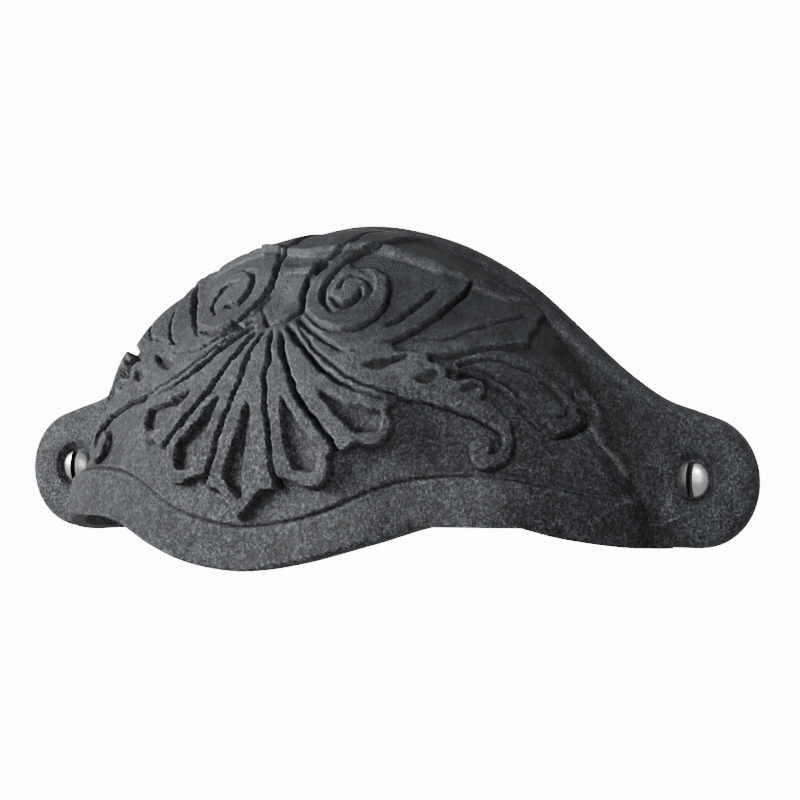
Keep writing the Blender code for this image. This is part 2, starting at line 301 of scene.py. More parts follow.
# Lines painted bright, partly as rubbed wear and partly as a painted highlight where light would catch
# them, as they lie on the finished surface: (strength, width, line)
RIDGE_WEAR = [(x - 0.75, z - 0.15) for x, z in END_RIDGE]
# The lower leaf's rim is painted bright as a highlight along its edge
LEAF_RIM = [(34, 17.4), (36.2, 16.5), (38.4, 15.3), (40.1, 13.7), (42.1, 11.7), (43.6, 10.1), (44.5, 8.7),
            (44.4, 7.7)]
WORN_AND_HIGHLIT = [
    (0.65, 0.6, CREASE[:2] + [(4, 32.6)]),
    (0.75, 0.8, CREASE[2:6]),
    (0.5, 0.8, CREASE[6:8]),
    (0.7, 0.4, TAB_CREASE),
    (1.0, 0.35, RIDGE_WEAR),
    (0.22, 0.7, LEAF_RIM),
]
WEAR_AND_HIGHLIGHT_GAIN = 1.4
WEAR_AND_HIGHLIGHT_OFF_PLATE = 2

# The front edge of the plate's top is painted bright too, as rubbed wear and a painted highlight where it
# would catch light from above: where it lies inside the outline, how wide it is, where it starts and ends
# along x, and the depths between which it lies
EDGE_HIGHLIGHT_WEAR = 0.4
EDGE_HIGHLIGHT_WEAR_AT = 1.7
EDGE_HIGHLIGHT_WEAR_REACH = 0.8
EDGE_HIGHLIGHT_WEAR_START = -20
EDGE_HIGHLIGHT_WEAR_RISE = 10
EDGE_HIGHLIGHT_WEAR_END = 46
EDGE_HIGHLIGHT_WEAR_FALL = 8
EDGE_HIGHLIGHT_WEAR_FRONT = PLATE_T + 0.6
EDGE_HIGHLIGHT_WEAR_BACK = EDGE_LAND + 0.3

# Painted shade, darkening the iron in the corner where the ends of the cup meet the plate
FOOT = [(38, 18.8), (41, 14.8), (45, 10.2), (48.6, 4.6), (50.6, -0.6), (51.8, -5), (52, -10)]
CORNER_SHADE_REACH = 1.8
CORNER_SHADE_DARK = 0.4

# The lip band stands proud of the face above it, more so towards the ends of the cup
BAND_PROUD = 1.4
BAND_FROM = 18
BAND_TO = 48
BAND_STEP = 1.6
BAND_STEP_START = 0.25
FACE_LEVELS_FROM = 5
FACE_LEVELS_TO = 17

# Carved lines waver in waves of (turn per mm along x, turn per mm up, phase), the fine ones for jagged edges
WOBBLE = 0.065
WAVES_ALONG = [(0.9, 1.7, 0.0), (2.9, -1.3, 1.0)]
JAG_ALONG = (2.3, 4.7, 0.0)
WAVES_UP = [(1.5, -1.1, 2.0), (0.8, 3.1, 0.0)]
JAG_UP = (4.9, -2.1, 0.0)
JAG = 0.35
JAG_LEFT = 0.8

# The ornament's ground lies behind the plain cup, so that its raised tops are about level with it
GROUND = 0.3
GROUND_FADE_LOW = 4
GROUND_FADE_HIGH = 0.8

# The leaves curl up beyond this place, and reach their full curl so much further out and up
CURL = 0.6
CURL_FROM = (18, 12)
CURL_OVER = (14, 5)

# The moulding is lower along the stem of the scroll and on the roof, and fades out towards the plate
STEM = [(22, 12.2), (27, 11), (32, 9.6), (35, 8.4)]
STEM_EASE = 0.35
STEM_REACH = 1.8
ROOF_EASE = 0.5
ROOF_EASE_OVER = 1.5
PLATE_FADE = 1.5

# The face is hollowed below the crease, fading out between two distances on each side, and its shapes draw
# together there by so much per mm of hollow
HOLLOW_DEPTH = 1.8
HOLLOW_Z = 25.0
HOLLOW_SPREAD = 4.0
HOLLOW_FADE_LEFT = (17, 30)
HOLLOW_FADE_RIGHT = (22, 38)
DRAW_IN = 0.66

# The drawing sits off its surface by this much: for the tab and the volutes, and for everything else
HIGH_SHIFT = (-0.45, 0.35)
LOW_SHIFT = (-0.2, 0.15)

# The left side stands a little fuller where its leaves end
SIDE_LIFT = 1.0
SIDE_AT = (29, 22)
SIDE_SPREAD = (5.5, 8)

# The roof behind the crease is fuller than the plain section
ROOF_LIFT = 0.8
ROOF_AT = 11.0
ROOF_SPREAD = 4.5
ROOF_FROM = 12
ROOF_TO = 34

# Colours along the noise of each material. The smooth iron of the upper right is darkened as painted shade
# where it faces the key light
SMOOTH_IRON = [(0.32, (0.019, 0.021, 0.024)), (0.68, (0.057, 0.062, 0.069))]
ROUGH_IRON = [(0.35, (0.009, 0.010, 0.011)), (0.5, (0.040, 0.043, 0.048)), (0.67, (0.110, 0.117, 0.129))]
RUBBED_IRON_AND_HIGHLIGHT = [(0.35, (0.16, 0.165, 0.175)), (0.65, (0.42, 0.43, 0.45))]
STEEL = [(0.3, (0.66, 0.67, 0.69)), (0.7, (0.80, 0.80, 0.81))]
SLOT_SHADOW_AND_GRIME = [(0.3, (0.004, 0.004, 0.004)), (0.7, (0.016, 0.015, 0.014))]
PAPER = [(0.3, (0.93, 0.93, 0.93)), (0.7, (0.96, 0.96, 0.96))]

# Studio, in metres, degrees and watts
PAPER_GLOW = 12.0
FLOOR_REACH = 12.0
FLOOR_Z = -0.055
DOME_R = 14.0
SKY_LIGHT = 0.36
CAMERA_PLACE = (0.2788, -0.3897, 0.01507)
CAMERA_TILT = 89.52
CAMERA_TURN = 35.09
CAMERA_LENS = 141.0
SENSOR_W = 36.0


def smooth_step(t):
    """0 up to t = 0, 1 from t = 1 on, and a smooth rise between."""
    t = np.clip(t, 0, 1)
    return t * t * (3 - 2 * t)


def smooth_line(points, x):
    """Height at distance x along a smooth line through (distance, height) points."""
    px = np.array([p[0] for p in points], float)
    pz = np.array([p[1] for p in points], float)
    slope = np.gradient(pz, px)
    slope[0] = 0.0
    x = np.clip(np.abs(x), px[0], px[-1])
    i = np.clip(np.searchsorted(px, x) - 1, 0, len(px) - 2)
    span = px[i + 1] - px[i]
    t = (x - px[i]) / span
    return (
        (1 + 2 * t) * (1 - t) ** 2 * pz[i]
        + t * (1 - t) ** 2 * span * slope[i]
        + t**2 * (3 - 2 * t) * pz[i + 1]
        - t**2 * (1 - t) * span * slope[i + 1]
    )


def crown_line(x):
    """Height at which the cup meets the plate; the right end of the cup is the fuller one."""
    return np.where(np.asarray(x) > 0, smooth_line(CUP_BASE_RIGHT, x), smooth_line(CUP_BASE, x))


def rounded(points, closed, steps=4):
    """Catmull-Rom curve through the points, which may carry a width as third number."""
    p = np.array(points, float)
    if closed:
        p = np.vstack([p[-1], p, p[:2]])
    else:
        p = np.vstack([2 * p[0] - p[1], p, 2 * p[-1] - p[-2]])
    t = (np.arange(steps) / steps)[:, None]
    parts = []
    for a, b, c, d in zip(p, p[1:], p[2:], p[3:]):
        slope = 0.5 * t * (c - a)
        bend = t**2 * (a - 2.5 * b + 2 * c - 0.5 * d)
        twist = t**3 * (1.5 * (b - c) + 0.5 * (d - a))
        parts.append(b + slope + bend + twist)
    parts.append(p[-2:-1])
    return np.vstack(parts)


def near_points(points, line, reach):
    """Indices of the points within reach of the box round a line."""
    low = line.min(axis=0) - reach
    high = line.max(axis=0) + reach
    return np.flatnonzero(((points > low) & (points < high)).all(axis=1))


def line_distance(points, line):
    """Distance of each point from a line."""
    best = np.full(len(points), np.inf)
    for start, end in zip(line, line[1:]):
        step = end - start
        t = np.clip((points - start) @ step / max(step @ step, TINY), 0, 1)
        gap = np.linalg.norm(points - start - t[:, None] * step, axis=1)
        best = np.minimum(best, gap)
    return best


def is_inside(points, outline):
    """Whether each point lies inside a closed outline."""
    inside = np.zeros(len(points), bool)
    for a, b in zip(outline, np.roll(outline, -1, axis=0)):
        spans = (a[1] > points[:, 1]) != (b[1] > points[:, 1])
        if a[1] != b[1]:
            cross_x = a[0] + (points[:, 1] - a[1]) * (b[0] - a[0]) / (b[1] - a[1])
            inside ^= spans & (points[:, 0] < cross_x)
    return inside


def fill(points, outline, flank):
    """1 well inside the outline and 0 outside, with a smooth flank across it."""
    line = rounded(outline, closed=True)
    cover = np.zeros(len(points))
    near = near_points(points, line, flank)
    p = points[near]
    gap = line_distance(p, line)
    signed = np.where(is_inside(p, line[:-1]), gap, -gap)
    cover[near] = smooth_step(signed / flank + 0.5)
    return cover


def groove_depth(points, groove):
    """Depth of a groove, which is in proportion to its width."""
    line = rounded(groove, closed=False)
    widths = np.maximum(line[:, 2], GROOVE_LEAST_W)
    depth = np.zeros(len(points))
    near = near_points(points, line[:, :2], widths.max())
    p = points[near]
    for k in range(len(line) - 1):
        step = line[k + 1, :2] - line[k, :2]
        t = np.clip((p - line[k, :2]) @ step / max(step @ step, TINY), 0, 1)
        gap = np.linalg.norm(p - line[k, :2] - t[:, None] * step, axis=1)
        width = widths[k] + t * (widths[k + 1] - widths[k])
        bowl = GROOVE_FLAT * (1 - (gap / (GROOVE_REACH * width)) ** 2)
        here = GROOVE_DEPTH * width * np.clip(bowl, 0, 1)
        depth[near] = np.maximum(depth[near], here)
    return depth


def bead(points, line, width):
    """Rounded rib along a line: 1 in its middle and 0 from half its width on."""
    across = line_distance(points, rounded(line, closed=False)) / (0.5 * width)
    return np.clip(1 - across**2, 0, 1)


def wavering(x, z, waves, jagged):
    """Small shift of a carved line, in mm, more jagged on the left."""
    first, second, fine = [np.sin(along * x + up * z + phase) for along, up, phase in waves + [jagged]]
    return WOBBLE * (first + second + np.where(x < 0, JAG_LEFT, JAG) * fine)


def line_height(points, x):
    """Height at distance x along straight stretches between (distance, height) points."""
    return np.interp(x, [p[0] for p in points], [p[1] for p in points])


def raised_height(x, places, upper):
    """Height of the raised shapes of the ornament."""
    height = np.zeros(len(places))
    for top, outline in RAISED:
        height = np.maximum(height, top * fill(places, outline, FLANK_W))
    tilt = np.clip(TAB_MIDDLE + TAB_GAIN * x, TAB_LEAST, 1)
    height = np.maximum(height, tilt * TAB[0] * fill(upper, TAB[1], FLANK_W))
    height = np.maximum(height, VOLUTE[0] * fill(upper, VOLUTE[1], FLANK_W))
    curl_x = smooth_step((places[:, 0] - CURL_FROM[0]) / CURL_OVER[0])
    curl_z = smooth_step((places[:, 1] - CURL_FROM[1]) / CURL_OVER[1])
    height *= 1 + CURL * curl_x * curl_z
    height *= 1 - STEM_EASE * np.exp(-((line_distance(places, np.array(STEM)) / STEM_REACH) ** 2))
    return height


def cut_depth(x, places, upper):
    """Depth of the sunk panels and grooves; most of them are cut deeper on the left."""
    left = x < 0
    right = x > 0
    depth = np.zeros(len(places))
    for sunk, outline in POCKETS:
        depth += sunk * fill(places, outline, FLANK_W)
    for groove in GROOVES:
        depth += groove_depth(places, groove)
    depth *= np.where(left, LEFT_CUT, 1.0)
    depth += HIGH_POCKET[0] * fill(upper, HIGH_POCKET[1], FLANK_W) * right
    depth += groove_depth(places, RIGHT_SLASH) * right
    depth += SPIRAL_HOLLOW_EASE * groove_depth(upper, SPIRAL_HOLLOW) * right
    for groove in RIGHT_VOLUTE_GROOVES:
        depth += groove_depth(upper, groove) * right
    for groove in LEFT_VOLUTE_GROOVES:
        depth += groove_depth(upper, groove) * left
    return depth


def side_swell(x, z):
    """Height of the fuller place on the left side."""
    along = (np.abs(x) - SIDE_AT[0]) / SIDE_SPREAD[0]
    up = (z - SIDE_AT[1]) / SIDE_SPREAD[1]
    return SIDE_LIFT * np.exp(-(along**2) - up**2) * (x < 0)


def relief(x, z):
    """Height of the moulding over the plain cup at front-view places."""
    along = np.abs(x) + DRAW_IN * face_hollow(x, z) + wavering(x, z, WAVES_ALONG, JAG_ALONG)
    carved = np.column_stack([along, z + wavering(x, z, WAVES_UP, JAG_UP)])
    crease_z = line_height(CREASE, np.abs(x))
    lip_z = line_height(LIP_LINE, np.abs(x))
    height = raised_height(x, carved + LOW_SHIFT, carved + HIGH_SHIFT)
    height *= 1 - ROOF_EASE * smooth_step((z - crease_z) / ROOF_EASE_OVER)
    height -= cut_depth(x, carved + LOW_SHIFT, carved + HIGH_SHIFT)
    over_lip = smooth_step((z - lip_z) / GROUND_FADE_LOW)
    under_crease = smooth_step((crease_z - z) / GROUND_FADE_HIGH + 0.5)
    height -= GROUND * over_lip * under_crease
    calm = np.column_stack([np.abs(x), z])
    height -= np.where(x < 0, LEFT_CUT, 1.0) * LIP_LINE_DEPTH * bead(calm, LIP_LINE, LIP_LINE_W)
    height += CREASE_H * bead(calm, CREASE, CREASE_W)
    height += TAB_CREASE_H * bead(calm, TAB_CREASE, CREASE_W)
    height += RIDGE_H * bead(calm, END_RIDGE, RIDGE_W) * (x > 0)
    return height + side_swell(x, z) - face_sink(np.abs(x), z)


def face_hollow(x, z):
    """Depth of the broad hollow in the face below the crease."""
    start = np.where(x > 0, HOLLOW_FADE_RIGHT[0], HOLLOW_FADE_LEFT[0])
    end = np.where(x > 0, HOLLOW_FADE_RIGHT[1], HOLLOW_FADE_LEFT[1])
    fade = 1 - smooth_step((np.abs(x) - start) / (end - start))
    return HOLLOW_DEPTH * np.exp(-(((z - HOLLOW_Z) / HOLLOW_SPREAD) ** 2)) * fade


def face_sink(x, z):
    """How far the face above the lip line lies behind the lip band."""
    above = smooth_step((z - line_height(LIP_LINE, x)) / BAND_STEP + BAND_STEP_START)
    fading = 1 - smooth_step((z - FACE_LEVELS_FROM) / (FACE_LEVELS_TO - FACE_LEVELS_FROM))
    return BAND_PROUD * smooth_step((x - BAND_FROM) / (BAND_TO - BAND_FROM)) * above * fading


def new_mesh(name, verts, faces):
    """Object from points in mm and faces of their indices, with its normals outward."""
    mesh = bpy.data.meshes.new(name)
    mesh.from_pydata((np.asarray(verts, float) * MM).tolist(), [], faces)
    body = bmesh.new()
    body.from_mesh(mesh)
    bmesh.ops.recalc_face_normals(body, faces=body.faces)
    body.to_mesh(mesh)
    body.free()
    item = bpy.data.objects.new(name, mesh)
    bpy.context.scene.collection.objects.link(item)
    return item


def loft(name, rings):
    """Closed body through an array of rings of equal point count, capped at both ends."""
    rings = np.asarray(rings, float)
    many, count = rings.shape[:2]
    near = np.arange(many - 1)[:, None] * count + np.arange(count)[None]
    beside = np.arange(many - 1)[:, None] * count + (np.arange(count)[None] + 1) % count
    quads = np.stack([near, beside, beside + count, near + count], axis=-1).reshape(-1, 4).tolist()
    caps = [list(range(count)), list(range((many - 1) * count, many * count))]
    return new_mesh(name, rings.reshape(-1, 3), quads + caps)


def combine(target, tool, operation):
    """Joins the tool to the target or cuts it away, and removes the tool."""
    change = target.modifiers.new("change", "BOOLEAN")
    change.operation = operation
    change.solver = "MANIFOLD"
    change.object = tool
    depsgraph = bpy.context.evaluated_depsgraph_get()
    result = bpy.data.meshes.new_from_object(target.evaluated_get(depsgraph))
    target.modifiers.clear()
    target.data = result
    bpy.data.objects.remove(tool, do_unlink=True)


def spread(density, count):
    """Places from 0 to 1, packed in proportion to density, which is sampled evenly over 0 to 1."""
    total = np.concatenate([[0], np.cumsum(0.5 * (density[1:] + density[:-1]))])
    return np.interp(np.linspace(0, total[-1], count), total, np.linspace(0, 1, len(density)))


def plan_point(turn, shrink=0.0):
    """Distance along the cup and depth of its plan at a turn from -90 to 90 degrees."""
    half = HALF_LENGTH - shrink
    x = half * np.sign(turn) * np.abs(np.sin(turn)) ** (2 / PLAN_POWER)
    waist = 1 - WAIST * np.exp(-(((np.abs(x) / half - WAIST_AT) / WAIST_SPREAD) ** 2))
    return x, (DEPTH - shrink) * waist * np.cos(turn) ** (2 / PLAN_POWER)


def column_turns():
    """Turns of the skin's columns, close together over the ornament and wider at the ends."""
    turns = np.radians(np.linspace(-END_TURN, END_TURN, COLUMN_SAMPLES))
    x, depth = plan_point(turns)
    length = np.hypot(np.gradient(x), np.gradient(depth))
    density = length * np.where(np.abs(x) < END_COLUMNS_FROM, 1.0, END_COLUMN_DENSITY)
    return turns[0] + (turns[-1] - turns[0]) * spread(density, COLUMNS)


def row_angles():
    """Angles of the skin's rows from the crown down to the belly, close together over the ornament."""
    angles = np.linspace(np.pi / 2, 0, ROW_SAMPLES)
    out = DEPTH * np.cos(angles) ** (2 / SECTION_POWER)
    up = (CUP_BASE[0][1] - BELLY_Z) * np.sin(angles) ** (2 / SECTION_POWER)
    length = np.hypot(np.gradient(out), np.gradient(up))
    density = length * np.where(out < ROOF_ROWS_OUT, ROOF_ROW_DENSITY, 1.0)
    return angles[0] * (1 - spread(density, FACE_ROWS))


def face_rows(x, depth):
    """Distance from the wall and height of the face's rows, from the crown down to the belly."""
    crown = np.maximum(crown_line(x), BELLY_Z + LEAST_RISE)
    angle = row_angles()[None]
    out = depth[:, None] * np.cos(angle) ** (2 / SECTION_POWER)
    up = BELLY_Z + (crown - BELLY_Z)[:, None] * np.sin(angle) ** (2 / SECTION_POWER)
    lift = ROOF_LIFT * (1 - smooth_step((np.abs(x) - ROOF_FROM) / (ROOF_TO - ROOF_FROM)))
    up += lift[:, None] * np.exp(-(((out - ROOF_AT) / ROOF_SPREAD) ** 2))
    return out - face_hollow(x[:, None], up), up


def lip_rows(x, depth):
    """Distance from the wall and height of the lip's rows, down to its rounded edge."""
    lean = LIP_LEAN * np.sin(np.pi * np.clip(x / LIP_LEAN_SPAN, -1, 1))
    bottom = smooth_line(LIP_BOTTOM, x) + lean
    grown = smooth_step((np.abs(x) - LIP_ROUND_FROM) / LIP_ROUND_OVER)
    edge = LIP_ROUND + (LIP_ROUND_END - LIP_ROUND) * grown
    down = np.linspace(0, 1, LIP_ROWS + 1)[None, 1:]
    band_out = np.repeat(depth[:, None], LIP_ROWS, axis=1)
    band_up = BELLY_Z + (bottom + edge - BELLY_Z)[:, None] * down
    bend = np.linspace(0, np.pi / 2, ROUND_ROWS + 1)[None, 1:]
    edge_out = depth[:, None] - edge[:, None] * (1 - np.cos(bend))
    edge_up = bottom[:, None] + edge[:, None] * (1 - np.sin(bend))
    return np.hstack([band_out, edge_out]), np.hstack([band_up, edge_up])


def skin_grid():
    """Plain outer surface of the cup as an array (column, row, xyz), from the crown to the lip's edge."""
    x, depth = plan_point(column_turns())
    face_out, face_up = face_rows(x, depth)
    lip_out, lip_up = lip_rows(x, depth)
    out = np.hstack([face_out, lip_out])
    up = np.hstack([face_up, lip_up])
    return np.stack([np.repeat(x[:, None], out.shape[1], axis=1), -out, up], axis=-1)


def grid_normals(grid):
    """Unit normals of a grid, pointing away from the wall."""
    along = np.gradient(grid, axis=0)
    down = np.gradient(grid, axis=1)
    normal = np.cross(down, along)
    normal /= np.maximum(np.linalg.norm(normal, axis=2, keepdims=True), TINY)
    return normal * np.where(normal[..., 1:2] > 0, -1, 1)


def flared(grid, normal):
    """Skin widened close to the plate, so that it meets the plate in a soft hollow curve."""
    grown = smooth_step((np.abs(grid[..., 0]) - FILLET_FROM) / FILLET_OVER)
    reach = FILLET_TOP + (FILLET_END - FILLET_TOP) * grown
    rise = np.clip((-grid[..., 1] - PLATE_T) / reach, 0, 1)
    widen = reach * (1 - np.sqrt(1 - (1 - rise) ** 2))
    side = normal.copy()
    side[..., 1] = 0
    side[:, FACE_ROWS:, 2] = 0
    side /= np.maximum(np.linalg.norm(side, axis=2, keepdims=True), TINY)
    return grid + side * widen[..., None]


def cup_skin():
    """Closed body of the cup's outside with the whole ornament in its surface."""
    grid = skin_grid()
    normal = grid_normals(grid)
    height = relief(grid[..., 0].ravel(), grid[..., 2].ravel()).reshape(grid.shape[:2])
    height *= smooth_step((-grid[..., 1] - PLATE_T) / PLATE_FADE)
    surface = flared(grid, normal) + normal * height[..., None]
    crown = surface[:, :1].copy()
    crown[..., 1] = BEHIND
    heel = surface[:, -1:].copy()
    heel[..., 1] = BEHIND
    return loft("cup_casting_visual", np.concatenate([crown, surface, heel], axis=1))


def cup_hollow():
    """Closed body of the finger space inside the cup, open through the wall plane and the bottom."""
    floor_z = LIP_BOTTOM[0][1] - SPARE
    angles = np.linspace(np.pi / 2, 0, HOLLOW_ROWS)
    rings = []
    for turn in np.radians(np.linspace(-END_TURN, END_TURN, HOLLOW_COLUMNS)):
        x, depth = plan_point(turn, WALL)
        crown = crown_line(x * HALF_LENGTH / (HALF_LENGTH - WALL)) - CROWN_WALL * WALL
        rise = max(crown - BELLY_Z, LEAST_RISE)
        ring = [(x, 2 * BEHIND, BELLY_Z + rise)]
        for angle in angles:
            out = depth * np.cos(angle) ** (2 / SECTION_POWER)
            ring.append((x, -out, BELLY_Z + rise * np.sin(angle) ** (2 / SECTION_POWER)))
        ring.append((x, -depth, floor_z))
        ring.append((x, 2 * BEHIND, floor_z))
        rings.append(ring)
    return loft("hollow", rings)


def plate_outline(inset):
    """Front-view outline of the plate and its ears, moved inward by an inset."""
    angles = np.linspace(-np.pi / 2, np.radians(EAR_TOP_TURN), EAR_STEPS)
    radius = EAR_R - inset
    ear = [(SCREW_X + radius * np.cos(a), EAR_Z + radius * np.sin(a)) for a in angles]
    top = []
    for x in np.linspace(PLATE_TOP[-1][0], 0, PLATE_TOP_STEPS)[1:]:
        rise = smooth_line(PLATE_TOP, x)
        ahead = smooth_line(PLATE_TOP, x + SLOPE_STEP)
        slope = (ahead - smooth_line(PLATE_TOP, x - SLOPE_STEP)) / (2 * SLOPE_STEP)
        length = np.hypot(1, slope)
        top.append((x + inset * slope / length, rise - inset / length))
    top[-1] = (0.0, top[-1][1])
    half = ear + top
    return half + [(-x, z) for x, z in reversed(half[:-1])]


def back_plate():
    """Plate with both ears, its front edge rounded over."""
    levels = [(0.0, -PLATE_BEHIND), (0.0, EDGE_LAND)]
    for bend in np.linspace(0, np.pi / 2, PLATE_EDGE_ROWS)[1:]:
        depth = EDGE_LAND + (PLATE_T - EDGE_LAND) * np.sin(bend)
        levels.append((EDGE_ROUND * (1 - np.cos(bend)), depth))
    return loft("plate", [[(x, -depth, z) for x, z in plate_outline(inset)] for inset, depth in levels])


def turned(name, profile, x, sides):
    """Body of revolution about the screw axis at x, from (radius, y) points."""
    angles = 2 * np.pi * np.arange(sides) / sides
    rings = [[(x + r * np.cos(a), y, r * np.sin(a)) for a in angles] for r, y in profile]
    return loft(name, rings)


def ear_hole(x):
    """Screw hole with the shallow dish round the screw's head."""
    floor = -(PLATE_T - DISH_DEPTH)
    profile = [(HOLE_R, SPARE), (HOLE_R, floor)]
    for t in np.linspace(0, 1, DISH_ROWS):
        radius = HEAD_R + DISH_PLAY + (DISH_R - HEAD_R) * t
        profile.append((radius, floor - (DISH_DEPTH + SLIVER) * smooth_step(t)))
    profile.append((DISH_R + DISH_PLAY, -PLATE_T - SPARE))
    return turned("ear_hole", profile, x, HOLE_SIDES)


def wall_block():
    """Block behind the wall plane, to cut the casting's back flat."""
    reach = SCREW_X + 2 * EAR_R
    ring = [(0.0, -reach), (SPARE, -reach), (SPARE, reach), (0.0, reach)]
    return loft("wall_block", [[(x, y, z) for y, z in ring] for x in (-reach, reach)])


def cup_casting():
    """The whole iron casting: cup and plate as one body, hollowed and drilled."""
    casting = cup_skin()
    combine(casting, back_plate(), "UNION")
    combine(casting, wall_block(), "DIFFERENCE")
    combine(casting, cup_hollow(), "DIFFERENCE")
    for x in (-SCREW_X, SCREW_X):
        combine(casting, ear_hole(x), "DIFFERENCE")
    casting.data.materials.clear()
    casting.data.materials.append(cast_iron())
    mark_surface(casting.data)
    casting.data.shade_smooth()
    casting.data.set_sharp_from_angle(angle=np.radians(SHARP_IRON))
    return casting


def crest_wear_and_highlight(points, y):
    """How far each point is painted bright along the creases, the end ridge and the leaf's rim, as rubbed
    wear and painted highlight.
    """
    wear_and_highlight = np.zeros(len(points))
    for strength, width, line in WORN_AND_HIGHLIT:
        near = line_distance(points, rounded(line, closed=False)) / (0.5 * width)
        wear_and_highlight = np.maximum(wear_and_highlight, strength * np.clip(WEAR_AND_HIGHLIGHT_GAIN * (1 - near), 0, 1))
    return wear_and_highlight * (y < -(PLATE_T + WEAR_AND_HIGHLIGHT_OFF_PLATE))


def edge_wear_and_highlight(x, points, y):
    """How far each point is painted bright along the front edge of the plate's top, as rubbed wear and
    painted highlight.
    """
    inside = smooth_line(PLATE_TOP, points[:, 0]) - points[:, 1]
    near = np.clip(1 - np.abs(inside - EDGE_HIGHLIGHT_WEAR_AT) / EDGE_HIGHLIGHT_WEAR_REACH, 0, 1)
    start = smooth_step((x - EDGE_HIGHLIGHT_WEAR_START) / EDGE_HIGHLIGHT_WEAR_RISE)
    end = smooth_step((EDGE_HIGHLIGHT_WEAR_END - x) / EDGE_HIGHLIGHT_WEAR_FALL)
    on_edge = (y > -EDGE_HIGHLIGHT_WEAR_FRONT) & (y < -EDGE_HIGHLIGHT_WEAR_BACK)
    return EDGE_HIGHLIGHT_WEAR * on_edge * end * start * near


def mark_surface(mesh):
    """Writes for each point of the casting how far it is painted bright, as rubbed wear and painted
    highlight, and how far it is darkened as painted shade in the cup's corners.
    """
    places = np.empty(3 * len(mesh.vertices))
    mesh.vertices.foreach_get("co", places)
    x, y, z = (places.reshape(-1, 3) / MM).T
    points = np.column_stack([np.abs(x), z])
    wear_and_highlight = np.maximum(crest_wear_and_highlight(points, y), edge_wear_and_highlight(x, points, y))
    # Painted shade along the corner where each end of the cup meets the plate
    corner_shade = np.clip(1 - line_distance(points, rounded(FOOT, closed=False)) / CORNER_SHADE_REACH, 0, 1)
    for name, values in (("wear_and_highlight", wear_and_highlight), ("corner_shade", corner_shade)):
        mesh.attributes.new(name, "FLOAT", "POINT").data.foreach_set("value", values)


def shank_radius(y, angle):
    """Radius of the screw's shank with its thread, tapering to the point."""
    taper = np.clip((SCREW_REACH - y) / POINT_LENGTH, POINT_LEAST, 1)
    turn = (y / THREAD_PITCH - angle / (2 * np.pi)) % 1
    crest = THREAD_DEPTH * np.clip(1 - THREAD_SHARPNESS * np.abs(turn - 0.5), 0, 1)
    grown = smooth_step((y - THREAD_START) / THREAD_PITCH) * np.clip(THREAD_FADE * taper, 0, 1)
    return SHANK_R * taper - THREAD_DEPTH * taper * grown + crest * grown * THREAD_CREST


def screw_rings(x, seat_y):
    """Rings of a screw whose head sits at seat_y, from the crown of its dome to its point."""
    angles = 2 * np.pi * np.arange(SCREW_SIDES) / SCREW_SIDES
    rim_y = seat_y - HEAD_RIM
    profile = []
    for bend in np.linspace(DOME_START, np.pi / 2, DOME_ROWS):
        profile.append((HEAD_R * np.sin(bend), rim_y - (HEAD_H - HEAD_RIM) * np.cos(bend)))
    profile.append((HEAD_R, seat_y))
    for y in np.linspace(seat_y, SCREW_REACH, SHANK_ROWS):
        profile.append((shank_radius(y, angles), y))
    rings = []
    for radius, y in profile:
        ring_y = np.full(SCREW_SIDES, y)
        rings.append(np.column_stack([x + radius * np.cos(angles), ring_y, radius * np.sin(angles)]))
    return rings


def slot_bar(x, crown_y):
    """Bar that cuts the driver slot into a head."""
    left, right = x - SLOT_W / 2, x + SLOT_W / 2
    front, floor = crown_y - SPARE, crown_y + SLOT_DEPTH
    section = [(left, front), (right, front), (right, floor), (left, floor)]
    return loft("slot", [[(px, py, pz) for px, py in section] for pz in (-SLOT_REACH, SLOT_REACH)])


def wood_screw(name, x):
    """Slotted round-head wood screw with its axis at x, its slot upright and dark inside."""
    seat_y = -(PLATE_T - DISH_DEPTH) - CLEARANCE
    crown_y = seat_y - HEAD_H
    screw = loft(name, screw_rings(x, seat_y))
    combine(screw, slot_bar(x, crown_y), "DIFFERENCE")
    screw.data.materials.clear()
    screw.data.materials.append(bright_steel())
    screw.data.materials.append(slot_shadow_and_grime())
    for face in screw.data.polygons:
        place = face.center / MM
        in_slot = abs(place.x - x) < SLOT_W / 2 + SLIVER and place.y < crown_y + SLOT_DEPTH + SLIVER
        on_dome = abs(face.normal.x) < SLOT_WALL and place.y < crown_y + SLOT_DEPTH - SLIVER
        # The slot's inside gets the dark material: grime and painted shadow
        face.material_index = int(in_slot and not on_dome)
    screw.data.shade_smooth()
    screw.data.set_sharp_from_angle(angle=np.radians(SHARP_STEEL))
    return screw


